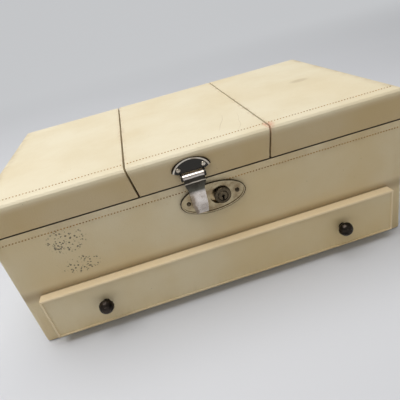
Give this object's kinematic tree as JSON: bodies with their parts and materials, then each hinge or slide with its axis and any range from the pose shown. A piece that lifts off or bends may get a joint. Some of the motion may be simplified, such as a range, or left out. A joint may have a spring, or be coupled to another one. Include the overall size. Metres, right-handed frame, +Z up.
{
  "type": "travel jewelry case",
  "caption": "Leather-covered travel jewelry case: rear-hinged middle lid with hasp and mirror, side-hinged outer lids, wells with ring rolls, and a drawer under them.",
  "frame": {"origin": "centre of the base pad's underside, on the surface that the case stands on", "axes": "+X along the case's width, +Y from the drawer's front to the rear hinge, +Z up"},
  "size_m": [0.3278, 0.217, 0.1262],
  "materials": {
    "cream_leather": "worn semi-matt grained leather",
    "plywood": "plain sanded plywood",
    "velvet": "short pile",
    "felt": "plain felt",
    "nickel": "tarnished nickel plate",
    "brass": "tarnished brass",
    "bronze": "dark bronze",
    "steel": "plain steel",
    "mirror": "silvered glass"
  },
  "bodies": {
    "case": {"back_board": "plywood", "base_pad": "felt", "case_cover": "cream_leather", "case_floor": "plywood", "centre_divider": "velvet", "centre_well_pad": "velvet", "drawer_stop": "plywood", "front_board": "plywood", "left_board": "plywood", "left_case_leaf": "nickel", "left_divider": "velvet", "left_hinge_pin": "steel", "left_lock_rivet": "brass", "left_partition": "velvet", "left_runner": "plywood", "left_well_pad": "velvet", "lock_case": "steel", "lock_plate": "nickel", "lock_spring": "steel", "middle_shelf": "plywood", "rear_case_leaf": "nickel", "rear_hinge_pin": "steel", "right_board": "plywood", "right_case_leaf": "nickel", "right_hinge_pin": "steel", "right_lock_rivet": "brass", "right_partition": "velvet", "right_runner": "plywood", "right_well_pad": "velvet", "ring_roll_1": "velvet", "ring_roll_2": "velvet", "ring_roll_3": "velvet"},
    "centre_lid": {"centre_lid_shell": "plywood", "centre_lid_cover": "cream_leather", "centre_lid_leaf": "nickel", "mirror": "mirror", "mirror_frame": "brass", "hasp_plate": "nickel", "left_hasp_rivet": "nickel", "right_hasp_rivet": "nickel", "hasp_pin": "steel"},
    "hasp": {"hasp": "nickel"},
    "lock_button": {"lock_button": "nickel", "lock_catch": "steel"},
    "key_plug": {"key_plug": "brass"},
    "left_lid": {"left_lid_shell": "plywood", "left_lid_cover": "cream_leather", "left_lid_leaf": "nickel"},
    "right_lid": {"right_lid_shell": "plywood", "right_lid_cover": "cream_leather", "right_lid_leaf": "nickel"},
    "drawer": {"drawer_front": "plywood", "drawer_front_cover": "cream_leather", "left_drawer_side": "plywood", "right_drawer_side": "plywood", "drawer_back": "plywood", "drawer_bottom": "plywood", "drawer_pad": "velvet", "left_knob": "bronze", "right_knob": "bronze"}
  },
  "joints": [
    {"name": "centre_lid_hinge", "type": "hinge", "parent": "case", "child": "centre_lid", "pos_m": [0, 0.0991, 0.10245], "axis": [-1, 0, 0], "range_deg": [0, 100]},
    {"name": "left_lid_hinge", "type": "hinge", "parent": "case", "child": "left_lid", "pos_m": [-0.1621, 0, 0.10245], "axis": [0, -1, 0], "range_deg": [0, 105]},
    {"name": "right_lid_hinge", "type": "hinge", "parent": "case", "child": "right_lid", "pos_m": [0.1621, 0, 0.10245], "axis": [0, 1, 0], "range_deg": [0, 105]},
    {"name": "drawer_slide", "type": "slide", "parent": "case", "child": "drawer", "axis": [0, -1, 0], "range_m": [0, 0.143]},
    {"name": "hasp_hinge", "type": "hinge", "parent": "centre_lid", "child": "hasp", "pos_m": [-0.0089, -0.1002, 0.1085], "axis": [-1, 0, 0], "range_deg": [0, 100]},
    {"name": "button_slide", "type": "slide", "parent": "case", "child": "lock_button", "axis": [-1, 0, 0], "range_m": [0, 0.0025], "stiffness_N_per_m": 300},
    {"name": "key_plug_turn", "type": "hinge", "parent": "lock_button", "child": "key_plug", "pos_m": [0.0089, -0.0995, 0.086], "axis": [0, -1, 0], "range_deg": [0, 90]}
  ]
}
